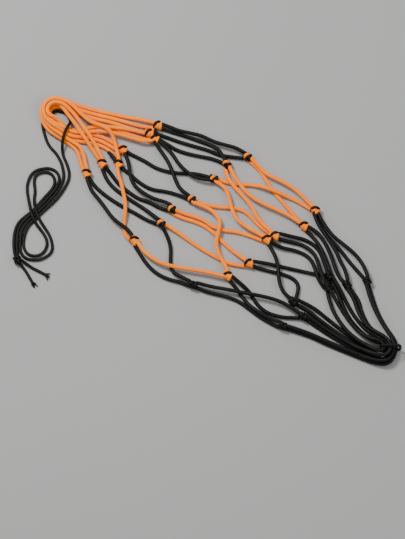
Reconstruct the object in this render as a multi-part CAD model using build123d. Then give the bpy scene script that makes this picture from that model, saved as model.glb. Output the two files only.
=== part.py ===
"""Knotted cord net for carrying one ball, lying flat, with its drawstring wound into a hank.

Millimetres, +Z up, the bag lying on z = 0. Its mouth is at upper left and its closed bottom at
lower right. Two layers of cord lie on each other: the back layer near z = 1.6 and the front layer
near z = 5.
"""

import os
from math import degrees, atan2, pi, radians, tan

from build123d import *

# ---- driving dimensions -------------------------------------------------------------------
CORD = 3.0                  # braided net cord, diameter
STRING = 2.4                # thinner braided drawstring, diameter
TIE = 2.0                   # closing tie round the bottom loops, diameter

KNOT_RADIUS = 3.4           # a drawn-tight knot of two cords, a barrel
KNOT_LENGTH = 6.6
KNOT_ROUND = 2.2            # rounding of the barrel's two rims
KNOT_HEIGHT = 3.7           # its middle, level with the two stacked cords that enter it

LONG_AXIS = (0.8, -0.6)     # from the mouth to the bottom of the flattened net
FOLD_POINT = (6.6, 11.6)    # where the fold line crosses the long axis
FOLD_GAP = 0.8              # slit between the two halves of a strand that crosses the fold

TIE_LEFT, TIE_RIGHT = 125.0, 140.5    # closing tie, a loop standing round the bottom loops
TIE_Y = -98.2
TIE_LOW, TIE_HIGH = 1.0, 13.3
TIE_CORNER = 2.5

HANK_BOTTOM, HANK_TOP = 0.1, 5.1      # the wound strands lie two deep
STOPPER_AT = (-157.5, -24.4)          # overhand knot that joins the two ends of the drawstring
STOPPER_RADIUS = 3.4
STOPPER_HEIGHT = 7.0

ARC_SHARE = 0.45            # part of the shorter neighbouring run that a corner's arc uses up

# ---- routes of the cords: x, y, height of the cord's middle ---------------------------------
# Each mouth loop leaves a knot, rounds the eye of the mouth and comes back to another knot.
MOUTH_LOOPS = {
    "mouth_loop_1": [
        [
            (-50.1, 89.9, 5.3), (-59.3, 93, 3.6), (-71.7, 95.7, 1.7), (-84.2, 98.7, 1.7),
            (-95.9, 101.4, 1.7), (-106.8, 104.5, 1.9), (-117.8, 108, 4), (-126.3, 110.8, 4.2),
            (-134.5, 110.2, 4.2), (-139.4, 104.6, 4.2), (-140.2, 97.6, 4.2), (-138.5, 90.9, 4.2),
            (-134.5, 84.3, 4.2), (-126.3, 78.8, 3.4), (-116.2, 72.5, 1.7), (-110.5, 66.4, 1.7),
            (-108.9, 58.6, 1.7), (-105.5, 49.8, 2.1),
        ],
    ],
    "mouth_loop_2": [
        [
            (-50.2, 86.6, 2.1), (-60.8, 87.9, 1.7), (-71.7, 91.4, 1.7), (-83.4, 94.9, 1.7),
            (-95.1, 97.7, 1.7), (-106.1, 100.7, 1.9), (-117, 104.4, 4), (-126.3, 107.4, 4.2),
            (-132.4, 106.8, 4.2), (-136.3, 102.5, 4.2), (-136.9, 97.4, 4.2), (-135.1, 92.3, 4.2),
            (-131, 87.1, 4.2), (-124, 81.8, 3), (-116.2, 76.5, 1.7), (-105.3, 74.8, 1.7),
            (-95.1, 72.8, 1.7), (-86.6, 68.5, 1.7), (-82.2, 62.7, 1.7), (-80.3, 58.1, 2.1),
        ],
    ],
    "mouth_loop_3": [
        [
            (-57.2, 82.5, 2.1), (-63.9, 84.3, 1.7), (-72.5, 87.1, 1.7), (-83.4, 91.2, 1.7),
            (-94.4, 93.9, 1.7), (-104.5, 96.7, 1.9), (-113.1, 99.3, 3.4), (-120.9, 102.3, 4.2),
            (-126.3, 104.2, 4.2), (-130.6, 103.5, 4.2), (-133.1, 100.6, 4.2), (-133.4, 97.2, 4.2),
            (-131.8, 93.5, 4.2), (-127.9, 89.8, 4.2), (-122.4, 85, 2.2), (-116.2, 80.4, 1.7),
            (-105.3, 82, 1.7), (-94.4, 80.5, 1.7), (-85, 75.8, 1.7), (-77, 69.8, 2.1),
        ],
    ],
    "mouth_loop_4": [
        [
            (-53, 76.5, 2.1), (-57.7, 77, 1.7), (-66.3, 79.8, 1.7), (-78.8, 84.6, 1.7),
            (-89.7, 88.3, 1.7), (-98.3, 91.1, 2.4), (-106.1, 95.4, 6), (-113.1, 101.4, 7.4),
            (-120.1, 106.4, 7.4), (-126.3, 109, 7.4), (-133.4, 108.4, 7.4), (-137.9, 103.5, 7.4),
            (-138.5, 97.6, 7.4), (-136.8, 91.6, 7.4), (-132.6, 85.6, 7.3), (-125.2, 80.5, 6.4),
            (-116.2, 74.6, 4.9), (-108.8, 70, 4.9), (-106.1, 62.7, 4.9), (-105, 56.1, 4.9),
            (-103.4, 50.6, 5.3),
        ],
    ],
    "mouth_loop_5": [
        [
            (-78.4, 58.6, 5.3), (-80.3, 67.3, 4.9), (-82.3, 75.8, 4.9), (-85.3, 82.1, 8.7),
            (-92, 86.4, 8.3), (-99, 88.3, 8.6), (-106.1, 93.1, 10.5), (-113.1, 100.9, 10.6),
            (-119.3, 106.5, 10.6), (-126.3, 109, 10.6), (-133.4, 108.4, 10.6), (-137.9, 103.5, 10.6),
            (-138.5, 97.6, 10.6), (-136.2, 91.9, 10.6), (-130.2, 86.4, 10.2), (-123.7, 83.5, 6.9),
            (-116.2, 78.4, 4.9), (-105.3, 78.8, 2.2), (-94.4, 76.7, 1.7), (-85, 71.5, 1.7),
            (-77.5, 65.9, 2.1),
        ],
    ],
    "mouth_loop_6": [
        [
            (-93.1, 58.6, 2.1), (-98.3, 66, 4), (-103.7, 73.5, 8.1), (-109.2, 82.1, 8.2),
            (-114.6, 90.4, 8.2), (-119.3, 96.7, 8), (-123.2, 102.6, 7.4), (-127.1, 105.7, 7.4),
            (-131.8, 105, 7.4), (-134.8, 101.6, 7.4), (-135.2, 97.3, 7.4), (-133.4, 92.9, 7.4),
            (-129.5, 89.1, 7.4), (-123.2, 86.8, 6.1), (-116.2, 82.5, 4.9), (-107.6, 81.8, 4.9),
            (-99, 82.8, 4.9), (-89.7, 83, 4.9), (-78.8, 80.6, 4.9), (-66.3, 76.5, 4.9), (-58.3, 74, 5),
            (-52.3, 75, 5.3),
        ],
    ],
    "mouth_loop_7": [
        [
            (-91.1, 59.1, 5.3), (-95.5, 68.1, 5.2), (-100.6, 76.8, 8.1), (-106.1, 85.1, 8.2),
            (-111.1, 92.6, 8.2), (-116.2, 98.9, 8.6), (-121.8, 104, 10.4), (-127.1, 105.7, 10.6),
            (-131.5, 105.2, 10.6), (-134.8, 101.6, 10.6), (-135.1, 97.7, 10.6), (-133, 94.6, 10.6),
            (-129, 93.1, 9), (-123.2, 89.6, 4.2), (-116.2, 84.6, 1.7), (-106.8, 85.5, 1.8),
            (-98.3, 86.8, 4.9), (-88.1, 86.8, 4.9), (-78.8, 85.8, 4.9), (-67.8, 84, 4.9),
            (-57.5, 81, 5.3),
        ],
    ],
}

# First row of meshes, from the mouth knots to the upper knots.
UPPER_MESH = {
    "upper_mesh_1": [
        [
            (-45.2, 88.9, 5.3), (-39, 86.6, 5), (-31.2, 83.1, 5), (-22.6, 81.3, 5), (-13.2, 79, 5),
            (-3.9, 73.8, 5), (7, 70.7, 5), (14.8, 68.4, 5), (20.9, 64.1, 5.3),
        ],
        [
            (-51.5, 82.6, 2.1), (-41.3, 79.1, 1.6), (-30.4, 74.8, 1.6), (-18.7, 71.1, 1.6),
            (-8.6, 68.2, 1.6), (0, 64, 1.6), (10.2, 62.2, 1.8), (19.9, 61, 2.1),
        ],
    ],
    "upper_mesh_2": [
        [
            (-45.9, 86.6, 2.1), (-35.9, 83, 1.6), (-24.9, 79.5, 1.6), (-14.8, 75.5, 1.6),
            (-5.4, 72, 1.8), (0.4, 66.9, 5), (2.8, 61.9, 5.2), (5.5, 58.1, 5.3),
        ],
        [
            (-47.2, 77, 2.1), (-40.5, 73, 1.8), (-33.5, 68.2, 1.6), (-24.2, 64.9, 1.6),
            (-13.2, 62.5, 1.6), (-3.9, 60.6, 1.7), (3.8, 56.8, 2.1),
        ],
    ],
    "upper_mesh_3": [
        [
            (-48, 75.3, 5.3), (-41.2, 69.7, 5), (-35.9, 62.7, 5), (-31.6, 55.2, 5), (-24.2, 47.6, 5),
            (-15.6, 42.6, 5), (-6.3, 41.6, 5.3),
        ],
        [
            (-72.8, 66.5, 2.1), (-65.5, 62.7, 1.7), (-57.7, 58.6, 1.7), (-49.9, 53.1, 1.6),
            (-40.5, 49.9, 1.6), (-29.6, 48.3, 1.6), (-16.4, 48.4, 1.7), (-6.2, 44.6, 2.1),
        ],
    ],
    "upper_mesh_4": [
        [
            (-50.5, 73.5, 5.3), (-45.2, 65.7, 5), (-40.1, 57.7, 5), (-36.6, 49.3, 5), (-33.9, 41.1, 5),
            (-30.4, 33.7, 5), (-23.1, 28.4, 5.3),
        ],
        [
            (-77, 53.5, 2.1), (-70.5, 48.6, 1.7), (-62.8, 41, 1.6), (-53, 34.8, 1.6),
            (-42.4, 33.5, 1.6), (-32.7, 30.8, 1.7), (-24.2, 27, 2.1),
        ],
    ],
    "upper_mesh_5": [
        [
            (-74.1, 64.8, 5.3), (-70.6, 56.1, 5), (-69.9, 46.1, 5), (-67.1, 37.8, 5), (-59.3, 30.7, 5),
            (-49.9, 25.4, 5), (-41.3, 23.2, 5), (-37, 20.4, 5.3),
        ],
        [
            (-89.9, 53.9, 5.3), (-84.6, 47.8, 2.6), (-79.5, 40.3, 1.6), (-71, 33, 1.6),
            (-62.8, 27, 1.6), (-54.6, 24.6, 1.6), (-46, 19.1, 1.7), (-39.4, 17.1, 2.1),
        ],
    ],
    "upper_mesh_6": [
        [
            (-91.7, 52.7, 2.1), (-89.4, 45.3, 1.7), (-83.4, 37, 1.6), (-77.2, 32, 1.6),
            (-66.7, 24.4, 1.6), (-56.9, 17.9, 1.6), (-46.8, 8.3, 5.3),
        ],
        [
            (-102.2, 45.3, 2.1), (-98.3, 38.6, 1.7), (-90.5, 31.2, 1.6), (-81.5, 24.5, 1.6),
            (-73.3, 19.4, 1.6), (-64.7, 14.6, 1.6), (-55.4, 8.6, 1.7), (-48.3, 5.9, 2.1),
        ],
    ],
    "upper_mesh_7": [
        [
            (-103.7, 44.4, 5.3), (-101.4, 34.5, 5), (-95.1, 27, 5), (-88.9, 18.3, 5), (-83.4, 10, 5),
            (-76, 3.8, 5), (-71, 0.5, 5), (-67.1, -5.8, 5.3),
        ],
    ],
    "orange_joining_leg": [
        [
            (-79.8, 53, 5.3), (-79.1, 46.9, 5), (-76.8, 40.3, 5), (-75, 32, 5), (-73.3, 23.7, 5),
            (-73.1, 16.2, 5), (-74.1, 7.1, 1.7), (-74.1, -0.4, 1.6), (-71.3, -5.5, 1.8),
            (-68.2, -8.7, 2.1),
        ],
    ],
    "cord_start_tail": [
        [
            (-80.8, 56.1, 5.3), (-82, 59.7, 5.1), (-84.4, 63, 4.9), (-87.2, 65.5, 4.7),
        ],
    ],
}

# Second row, from the upper knots to the lower knots, across the fold line.
MIDDLE_MESH = {
    "middle_mesh_1": [
        [
            (25, 60.5, 5.3), (30.4, 54.8, 5), (36.7, 46.9, 5), (47.6, 41.6, 5), (57.7, 35.7, 5),
            (66.3, 27.7, 5), (74, 18.9, 5.3),
        ],
        [
            (-1.5, 43.8, 2.1), (6.3, 40.6, 1.6), (16.4, 39.1, 1.6), (27.3, 38.6, 1.8), (35.9, 35.8, 5),
            (46.8, 31.3, 5), (54.6, 28.3, 2.4), (63.5, 24, 1.7), (73, 17.5, 2.1),
        ],
    ],
    "middle_mesh_2": [
        [
            (23.4, 59.1, 2.1), (30.4, 54.1, 1.7), (36.4, 44.4, 1.6), (42.9, 32.8, 1.6), (53.8, 20, 1.6),
            (64.8, 5.9, 2.1),
        ],
        [
            (8.1, 53.6, 5.3), (11.3, 46.1, 5), (17.2, 37, 5), (24.5, 28.2, 5), (35.1, 21.5, 5),
            (48.4, 15.6, 5), (57.7, 10.3, 5), (64.6, 5, 5.3),
        ],
    ],
    "middle_mesh_3": [
        [
            (5.2, 53, 2.1), (5.9, 46.5, 4.6), (10.5, 37.8, 5), (19.1, 28.2, 5), (25.8, 19.6, 5),
            (30.4, 10.1, 5), (35.9, 2.9, 5), (41.8, -2.4, 5.3),
        ],
        [
            (-18.7, 25.2, 2.1), (-10.1, 22.2, 1.7), (0, 20, 1.6), (12.5, 19.7, 1.6), (21.9, 15.9, 1.6),
            (28.9, 7.6, 1.6), (35.1, 1.3, 1.7), (41.4, -3.2, 2.1),
        ],
    ],
    "middle_mesh_4": [
        [
            (-2.6, 40.6, 5.3), (4.2, 36.6, 5), (7.5, 29.5, 5), (9.5, 19.6, 5), (13.3, 9.3, 5),
            (21.9, 2.1, 5), (29.7, -2.2, 5), (35.5, -6.1, 5.3),
        ],
        [
            (-34.7, 16.6, 5.3), (-28.1, 14.9, 2.6), (-19.5, 12.4, 1.6), (-10.9, 8.9, 1.6),
            (-4.7, 3.6, 1.6), (3.9, 0.6, 1.6), (15.6, -0.7, 1.6), (27.3, -5, 1.7), (34.7, -8.3, 2.1),
        ],
    ],
    "middle_mesh_5": [
        [
            (-35.9, 14.7, 2.1), (-29.6, 11.2, 1.7), (-20.3, 8.6, 1.6), (-11.7, 4.9, 1.6),
            (-3.4, -1.7, 1.6), (3.5, -9.7, 1.6), (12.5, -18, 1.8), (21.5, -25.3, 4.2),
        ],
        [
            (-42.4, 5.6, 3.9), (-34.3, 0.5, 2.2), (-21.8, -8.8, 1.6), (-10.9, -16.6, 1.6),
            (-0.8, -22.3, 1.6), (9.4, -28.1, 1.6), (20.7, -29.1, 2.1),
        ],
    ],
    "middle_mesh_6": [
        [
            (-20.4, 23, 5.3), (-11.7, 19.9, 5), (-3.3, 14.7, 5), (1.4, 6.8, 5), (-0.3, -1.9, 5),
            (-2.5, -10.7, 5), (-0.3, -20, 5), (4.2, -28.4, 5), (7.2, -34.7, 5.3),
        ],
    ],
    "middle_mesh_7": [
        [
            (-63.6, -9.9, 5.3), (-60.2, -16.1, 5), (-53.8, -22.4, 5), (-44.4, -28.3, 5),
            (-30.4, -31.6, 5), (-16.4, -33.9, 5), (-5.4, -36.1, 5), (3.6, -38.6, 5.3),
        ],
    ],
    "side_mesh": [
        [
            (-66.3, -11.3, 2.1), (-62, -18.3, 1.7), (-56.5, -27.3, 1.6), (-49.1, -34.9, 1.6),
            (-39.8, -40, 1.7), (-30.4, -42.2, 1.8), (-23.1, -45.5, 2.1),
        ],
        [
            (-44.2, 2.6, 5.3), (-40.1, -5, 3.6), (-37.3, -14.5, 1.6), (-38, -24.4, 1.6),
            (-36.6, -33.9, 1.7), (-30.4, -38.2, 4.2), (-22.1, -43, 5.3),
        ],
    ],
}

# Third row, from the lower knots to the bottom knots.
LOWER_MESH = {
    "lower_mesh_1": [
        [
            (77.2, 14.6, 5.3), (80.7, 6.8, 5), (88.6, -5, 5), (98.8, -13.3, 5), (107.7, -21.5, 5),
            (113.6, -31.1, 5), (116.1, -39.4, 5.3),
        ],
        [
            (76, 13.4, 2.1), (79.1, 4.6, 1.7), (85.8, -5.2, 1.6), (94.4, -14.8, 1.6), (103, -27.3, 1.6),
            (113.7, -40, 2.1),
        ],
    ],
    "lower_mesh_2": [
        [
            (74.2, 14.3, 5.3), (77.2, 4.8, 5), (84.3, -5.8, 5), (90.9, -16.5, 5), (94.7, -26.6, 5),
            (99.1, -34.9, 5), (100.3, -42.4, 5.3),
        ],
        [
            (69.1, 2.9, 5.3), (76.5, -1, 5), (82.7, -10.3, 5), (87.8, -22.3, 5), (90.8, -32.7, 5),
            (94.4, -40.9, 5), (97.8, -44, 5.3),
        ],
    ],
    "lower_mesh_3": [
        [
            (67.9, 0.6, 2.1), (74.1, -5, 1.8), (79.6, -15.3, 5), (83.5, -25.3, 5), (86.6, -34.9, 5.3),
        ],
        [
            (46.5, -3, 5.3), (57, -4.9, 2.8), (67.9, -7, 1.7), (77.2, -13.6, 1.6), (81.9, -24.4, 1.6),
            (84.7, -34.6, 2.1),
        ],
        [
            (26.1, -26.3, 5.3), (35.1, -26.8, 3), (46, -28.9, 1.7), (57.7, -31.7, 1.6),
            (69.4, -34.6, 1.6), (77.2, -36.1, 1.6), (83, -37.7, 2.1),
        ],
    ],
    "lower_mesh_4": [
        [
            (45.7, -6.3, 2.1), (55.9, -9.1, 1.7), (65.5, -11.3, 1.8), (73.7, -18.3, 5),
            (77.6, -27.8, 5), (79.3, -36.1, 5), (83.4, -44.9, 5.3),
        ],
        [
            (39.6, -9.1, 5.3), (46.8, -14.1, 3.2), (60.1, -16, 1.7), (71, -21.6, 1.8), (75.2, -32.7, 5),
            (77.1, -41.4, 5), (82.4, -47.8, 2.1),
        ],
    ],
    "lower_mesh_5": [
        [
            (38.4, -10.7, 2.1), (42.5, -17.8, 4.7), (46.2, -29.4, 5), (46.5, -42.7, 5), (50.3, -53, 5),
            (55.9, -57, 5.3),
        ],
        [
            (25.5, -29.1, 2.1), (35.9, -32.6, 1.7), (48.4, -35.2, 1.6), (59.3, -39.7, 1.6),
            (62.9, -47.7, 1.7), (59.4, -57.1, 2.1),
        ],
    ],
    "lower_mesh_6": [
        [
            (9.7, -38.2, 5.3), (17.2, -44.4, 4), (24.2, -50.7, 1.7), (28.9, -60.1, 1.6),
            (36.7, -67.6, 1.6), (48.4, -71.4, 1.6), (57.7, -71.8, 1.7), (62.9, -72.2, 2.1),
        ],
        [
            (-17.6, -44, 5.3), (-7, -47.2, 5), (5.5, -49.3, 5), (18.7, -52.2, 5), (32, -54.7, 5),
            (44.5, -58, 5), (53.8, -62.6, 5), (63.4, -69.7, 5.3),
        ],
    ],
    "lower_mesh_7": [
        [
            (7.8, -40.7, 2.1), (13.3, -46.5, 1.7), (18.3, -55.1, 1.8), (24.2, -63.5, 5),
            (35.1, -71.1, 5), (42.9, -75.4, 5), (48.4, -76.7, 5.3),
        ],
        [
            (-17.9, -46.9, 2.1), (-9.3, -50.8, 1.7), (3.1, -53.5, 1.6), (14.8, -57.5, 1.6),
            (25, -65.8, 1.6), (35.6, -74.1, 1.7), (47.1, -80, 2.1),
        ],
    ],
}

# Each bottom loop leaves a knot, turns back at the closed end and returns to a knot.
BOTTOM_LOOPS = {
    "bottom_loop_1": [
        [
            (116.7, -45.2, 2.1), (120.1, -57.6, 1.7), (124, -69.3, 1.8), (130.3, -81.4, 2.6),
            (136.2, -90.2, 4.2), (137.8, -97.8, 4.2), (135, -106.4, 4.2), (129.5, -111.3, 4.2),
            (118.6, -108.8, 2), (104.5, -102.8, 1.7), (85, -94.4, 1.7), (67.1, -85.4, 1.7),
            (51.6, -81, 2.1),
        ],
    ],
    "bottom_loop_2": [
        [
            (114.7, -45.2, 5.3), (117.5, -56.8, 5), (122, -68.4, 5), (127.9, -80, 5.6),
            (134.2, -90, 7.4), (135.7, -97.8, 7.4), (133.2, -105.6, 7.4), (127.9, -109.4, 7.4),
            (116.2, -106.4, 5.2), (102.2, -100.5, 4.9), (82.7, -91.7, 4.9), (66.3, -84, 4.9),
            (52.6, -79.6, 5.3),
        ],
    ],
    "bottom_loop_3": [
        [
            (101.8, -47.5, 2.1), (108.4, -55.5, 1.7), (110.6, -66.8, 1.7), (116.2, -79.2, 1.8),
            (125.6, -87, 3.4), (132.3, -91.8, 4.2), (134.2, -98.3, 4.2), (131.5, -104.6, 4.2),
            (126, -107.3, 4.2), (114.7, -103, 1.9), (102.2, -96.2, 1.7), (86.6, -86.9, 1.7),
            (75.7, -79.1, 1.7), (67.6, -73.2, 2.1),
        ],
    ],
    "bottom_loop_4": [
        [
            (99.9, -48.8, 5.3), (105, -56.8, 5), (107.7, -67.6, 4.9), (114.2, -79.9, 6.2),
            (120.9, -85.7, 10.2), (130, -91.3, 10.6), (133.4, -98, 10.6), (130.7, -104.5, 10.6),
            (124, -105.3, 10.6), (114.7, -101.6, 8.6), (103.1, -95.2, 4.9), (87.4, -85.2, 4.9),
            (74.9, -76.4, 4.9), (68.2, -70.4, 5.3),
        ],
    ],
    "bottom_loop_5": [
        [
            (88.4, -38.8, 5.3), (94.2, -49.3, 4), (99.7, -60.5, 1.8), (105.3, -70.9, 1.7),
            (114.2, -82, 1.9), (123.3, -89.3, 7.3), (130.3, -93.3, 7.4), (132.5, -98.6, 7.4),
            (129.8, -103.6, 7.4), (123.3, -104.5, 7.3), (113.9, -99.8, 5.2), (104, -93.5, 1.8),
            (92.8, -84.9, 1.7), (79.6, -74.7, 1.7), (69.4, -65.9, 1.7), (60.1, -60.7, 2.1),
        ],
    ],
    "bottom_loop_6": [
        [
            (87.3, -40.2, 2.1), (92.4, -51, 1.7), (96.7, -63.1, 1.7), (102.2, -74.2, 1.7),
            (111.6, -85, 1.7), (120.1, -91.7, 3.4), (125.6, -93, 4.2), (129, -95.7, 4.2),
            (130.3, -99.1, 4.2), (128.7, -102.3, 4.2), (125.1, -103.5, 4.2), (120.5, -101.5, 4),
            (113.1, -96, 2), (104.9, -90, 1.8), (95.2, -82, 1.7), (83.5, -72.1, 1.7), (72.6, -63, 3.4),
            (60.5, -58.1, 5.3),
        ],
    ],
    "bottom_loop_7": [
        [
            (86.4, -49.9, 5.3), (91.3, -59.3, 5), (96.7, -68.9, 5), (103.8, -79.2, 4.9),
            (111.6, -87.2, 5.6), (118.3, -91.8, 10.3), (123.6, -93, 10.6), (127, -95.5, 10.6),
            (128.4, -98.8, 10.6), (126.4, -101.5, 10.6), (122.3, -101.5, 10.6), (117.8, -99.1, 10.2),
            (108.4, -92, 5.4), (99.9, -84.6, 4.9), (92.1, -74.2, 4.9), (86.6, -62.6, 4),
            (84.3, -50.1, 2.1),
        ],
    ],
}

# The two legs of the drawstring run from the eye to the neck of the hank. Its two ends come
# out of the stopper knot.
DRAWSTRING = {
    "drawstring_leg_1": [
        [
            (-127.3, 101.5, 1.3), (-132.6, 100.2, 1.3), (-136.9, 96.9, 1.3), (-139.1, 91.9, 1.3),
            (-138.5, 86.3, 1.3), (-136.9, 80.5, 1.3), (-135.2, 75, 1.3), (-132.3, 70.2, 1.3),
            (-128.5, 66.2, 1.3), (-125.9, 61.9, 1.3), (-123.7, 57.4, 1.3),
        ],
    ],
    "drawstring_leg_2": [
        [
            (-127.3, 101.5, 1.3), (-122, 100.7, 1.3), (-118.4, 97.1, 1.3), (-117, 93.3, 1.6),
            (-116.8, 90.8, 3.4), (-117.4, 88.6, 6.4), (-118.7, 85.6, 8.8), (-120.5, 82, 9.6),
            (-122, 77.6, 8.8), (-123.1, 72.3, 6.6), (-123.1, 67.2, 2), (-122.1, 62.4, 1.3),
            (-119.8, 57.7, 1.3),
        ],
    ],
    "drawstring_tail_1": [
        [
            (-155.2, -24.3, 3.4), (-150.2, -27.1, 2), (-145.5, -30.6, 1.3), (-140.8, -32.9, 1.3),
            (-136, -35.6, 1.3),
        ],
    ],
    "drawstring_tail_2": [
        [
            (-156, -26.4, 2.2), (-152.4, -30.6, 1.3), (-149.7, -34.7, 1.3), (-147.9, -38.2, 1.3),
            (-145.5, -42.2, 1.3),
        ],
    ],
}

# Middles of the knots, by row.
KNOTS = {
    "mouth_knots": [
        (-48, 88.4), (-50.3, 76.8), (-54.6, 81.5), (-75.2, 67.7), (-78.8, 55.7), (-91.6, 56.1),
        (-103.7, 47.8),
    ],
    "upper_knots": [
        (22.6, 61.9), (6.3, 55.7), (-3.9, 43.2), (-21.4, 26.2), (-37, 17.9), (-45.2, 5.9),
        (-65.9, -8.3),
    ],
    "lower_knots": [
        (75.7, 16.6), (66.7, 3.8), (43.7, -4.5), (37.5, -7.4), (23.4, -27.3), (7, -37.7),
    ],
    "bottom_knots": [
        (-20.3, -45.2), (115.5, -42.3), (99.9, -45.6), (85.8, -37.7), (85, -47.3), (57.7, -59.3),
        (65.5, -71.3), (49.5, -79.2),
    ],
}

# The hank's outline: bands of side-by-side strands, as width and middle line. The first two
# are the leads from the neck, then the right side, the crossing and the left column, the outer
# side of the upper loop, and the lower loop.
HANK_STROKES = [
    (2.4, [
        (-123, 53.9), (-122.4, 48.6),
    ]),
    (2.4, [
        (-118.7, 54.2), (-117.6, 48.6),
    ]),
    (12.4, [
        (-122.5, 46.5), (-123, 42),
    ]),
    (12.0, [
        (-123, 42), (-126.3, 34.5), (-131.8, 26.2),
    ]),
    (9.5, [
        (-131.8, 26.2), (-139.6, 17.9), (-145.1, 12.1),
    ]),
    (9.0, [
        (-145.1, 12.1), (-151.3, 7.1), (-155.6, -0.4), (-156.4, -10.3), (-157.1, -16.1),
    ]),
    (6.5, [
        (-157.1, -16.1), (-157.2, -17.5),
    ]),
    (5.3, [
        (-145.1, 12.1), (-146.9, 22), (-147.6, 27.8), (-147.1, 34.5), (-147.7, 40.3), (-147.1, 44.9),
        (-144.6, 49.4), (-138.8, 51.3), (-134.1, 51.9), (-129.8, 50.1), (-126.3, 46.9),
    ]),
    (5.3, [
        (-156.4, -10.3), (-153.2, -12.4), (-151.7, -17.4), (-149, -21.1), (-144.7, -22.4),
        (-139.2, -21.9), (-135.3, -19), (-132, -14.9), (-132.1, -9.5), (-134.5, -3.3), (-137.7, 0.9),
        (-141.6, 5.4), (-145.1, 12.1),
    ]),
]


# ---- cords ----------------------------------------------------------------------------------
def corner_radii(points):
    """Arc radius at every inner point of a route, from its turn and its shorter run."""
    radii = []
    for before, corner, after in zip(points, points[1:], points[2:]):
        run_in = corner - before
        run_out = after - corner
        half_turn = radians(run_in.get_angle(run_out)) / 2
        radii.append(ARC_SHARE * min(run_in.length, run_out.length) / tan(half_turn))
    return radii


def tube(name, route, diameter):
    """Round cord along straight runs joined by tangent arcs."""
    points = [Vector(*point) for point in route]
    radii = corner_radii(points)
    path = FilletPolyline(*points, radius=radii)
    solid = sweep(Plane(origin=path @ 0, z_dir=path % 0) * Circle(diameter / 2), path=path)
    share = solid.volume / (pi * diameter**2 / 4 * path.length)
    print(f"{name}: {path.length:.0f} mm, volume {share:.3f} of section x length, arc radii",
          " ".join(f"{radius:.0f}" for radius in radii))
    return solid


def cords(name, routes, diameter=CORD):
    """The cords of one node, each its own solid."""
    return [tube(name, route, diameter) for route in routes]


# ---- knots ----------------------------------------------------------------------------------
def barrel(radius, length, rounding):
    """Upright barrel with rounded rims, about its middle."""
    body = Cylinder(radius, length)
    return fillet(body.edges().filter_by(GeomType.CIRCLE), rounding)


def knots(places):
    """A row of knots lying along the net's long axis."""
    turn = degrees(atan2(LONG_AXIS[1], LONG_AXIS[0]))
    knot = Rot(0, 90, 0) * barrel(KNOT_RADIUS, KNOT_LENGTH, KNOT_ROUND)
    return [Pos(x, y, KNOT_HEIGHT) * Rot(0, 0, turn) * knot for x, y in places]


# ---- fold -----------------------------------------------------------------------------------
def fold_half(solid, side):
    """What a strand keeps on one side of the fold: side -1 towards the mouth, +1 the bottom."""
    normal = Vector(*LONG_AXIS, 0)
    origin = Vector(*FOLD_POINT, 0) + normal * (side * FOLD_GAP / 2)
    plane = Plane(origin=origin, z_dir=normal * side)
    return split(solid, bisect_by=plane, keep=Keep.TOP)


# ---- closing tie, hank and stopper knot -----------------------------------------------------
def closing_tie():
    """Closed loop of thin cord standing round the bundle of bottom loops."""
    width = TIE_RIGHT - TIE_LEFT
    height = TIE_HIGH - TIE_LOW
    middle = ((TIE_LEFT + TIE_RIGHT) / 2, TIE_Y, (TIE_LOW + TIE_HIGH) / 2)
    frame = Plane(origin=middle, x_dir=(1, 0, 0), z_dir=(0, -1, 0))
    path = (frame * RectangleRounded(width, height, TIE_CORNER)).wire()
    section = Plane(origin=path @ 0, z_dir=path % 0) * Circle(TIE / 2)
    return sweep(section, path=path)


def band(width, line):
    """Flat outline of one band of strands, with round ends and corners."""
    outline = Sketch()
    for (x0, y0), (x1, y1) in zip(line, line[1:]):
        run = Vector(x1 - x0, y1 - y0)
        slot = SlotCenterToCenter(run.length, width)
        turn = degrees(atan2(run.Y, run.X))
        outline += Pos((x0 + x1) / 2, (y0 + y1) / 2) * Rot(0, 0, turn) * slot
    return outline


def hank():
    """The wound drawstring as one solid of its outer shape."""
    outline = Sketch()
    for width, line in HANK_STROKES:
        outline += band(width, line)
    return extrude(Pos(0, 0, HANK_BOTTOM) * outline, HANK_TOP - HANK_BOTTOM)


def stopper_knot():
    """Overhand knot of the two ends."""
    x, y = STOPPER_AT
    knot = barrel(STOPPER_RADIUS, STOPPER_HEIGHT - 0.2, KNOT_ROUND)
    return Pos(x, y, STOPPER_HEIGHT / 2 + 0.1) * knot


# ---- nodes ----------------------------------------------------------------------------------
def save(name, solids):
    """Write one node, of one solid or of several separate ones."""
    shape = solids[0] if len(solids) == 1 else Compound(children=solids)
    shape.label = name
    export_step(shape, f"parts/{name}.step")


def main():
    os.makedirs("parts", exist_ok=True)
    for routes in (MOUTH_LOOPS, UPPER_MESH, LOWER_MESH, BOTTOM_LOOPS):
        for name, strands in routes.items():
            save(name, cords(name, strands))
    for name, strands in MIDDLE_MESH.items():
        whole = cords(name, strands)
        save(f"{name}_mouth_side", [fold_half(strand, -1) for strand in whole])
        save(f"{name}_bottom_side", [fold_half(strand, 1) for strand in whole])
    for name, strands in DRAWSTRING.items():
        save(name, cords(name, strands, STRING))
    for name, places in KNOTS.items():
        save(name, knots(places))
    save("closing_tie", [closing_tie()])
    save("drawstring_hank", [hank()])
    save("stopper_knot", [stopper_knot()])


main()
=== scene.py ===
"""Knotted cord net for carrying one ball, lying flat, with its drawstring wound into a hank.

Metres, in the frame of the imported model. Each cord is a braided tube along a smooth curve, each
knot is wrapped from two cords, and the drawstring is two free cords that end in frayed tails.
"""

import math
import random

import bpy
import numpy as np
from mathutils import Matrix, Vector


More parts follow.
